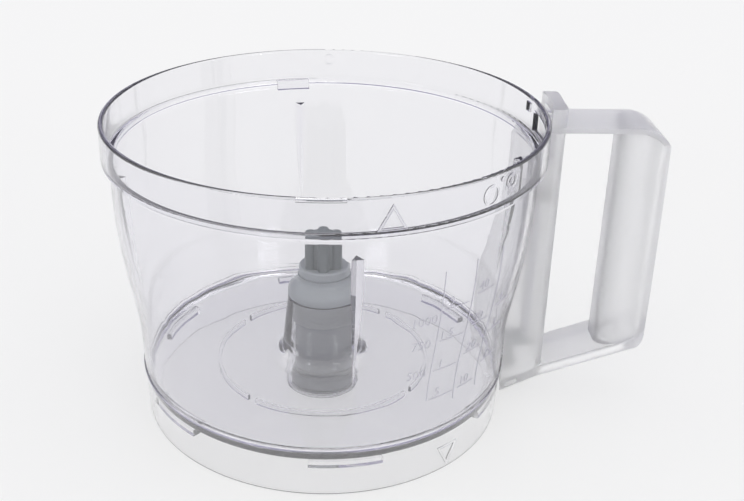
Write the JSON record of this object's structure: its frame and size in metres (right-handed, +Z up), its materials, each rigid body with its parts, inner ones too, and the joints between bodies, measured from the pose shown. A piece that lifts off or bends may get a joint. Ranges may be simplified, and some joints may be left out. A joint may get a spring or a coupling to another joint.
{
  "type": "food processor bowl",
  "caption": "Clear mixing bowl of a food processor with side handle, foot ring, sprung lid interlock and a lift-out grey drive shaft in the central hub.",
  "frame": {"origin": "centre of the foot ring, on the bowl's axis, at the level it stands on", "axes": "+Z up along the bowl's axis, +X towards the handle, +Y to the left when looking along +X"},
  "size_m": [0.23, 0.1804, 0.1354],
  "materials": {
    "clear_plastic": "clear, polished",
    "grey_plastic": "satin",
    "rod_plastic": "frosted",
    "bearing_plastic": "matte",
    "steel": "satin",
    "seal_rubber": "matte"
  },
  "bodies": {
    "bowl": {"bowl_shell": "clear_plastic", "base_ring": "clear_plastic", "handle_column": "clear_plastic", "handle_top_bar": "clear_plastic", "handle_bottom_bar": "clear_plastic", "grip_tube": "clear_plastic", "latch_block": "clear_plastic", "rod_guide": "rod_plastic", "foot_guide": "rod_plastic", "hub_bush": "bearing_plastic", "coupling_bush": "bearing_plastic", "thrust_washer": "bearing_plastic", "retaining_ring": "steel"},
    "interlock": {"pushrod": "rod_plastic", "pushrod_head": "rod_plastic", "interlock_foot": "rod_plastic", "return_spring": "steel"},
    "coupling": {"drive_coupling": "grey_plastic"},
    "shaft": {"spindle_core": "steel", "drive_socket": "steel", "spindle_sleeve": "grey_plastic", "spindle_seal": "seal_rubber", "spindle_bell": "grey_plastic", "flange_ring": "grey_plastic", "drive_head": "grey_plastic"}
  },
  "joints": [
    {"name": "coupling_spin", "type": "hinge", "parent": "bowl", "child": "coupling", "pos_m": [0, 0, 0.009], "axis": [0, 0, 1], "continuous": true},
    {"name": "shaft_lift", "type": "slide", "parent": "coupling", "child": "shaft", "axis": [0, 0, 1], "range_m": [0, 0.135]},
    {"name": "interlock_push", "type": "slide", "parent": "bowl", "child": "interlock", "axis": [0, 0, -1], "range_m": [0, 0.005], "stiffness_N_per_m": 400, "springref_m": -0.005, "deforming": ["return_spring"]}
  ]
}
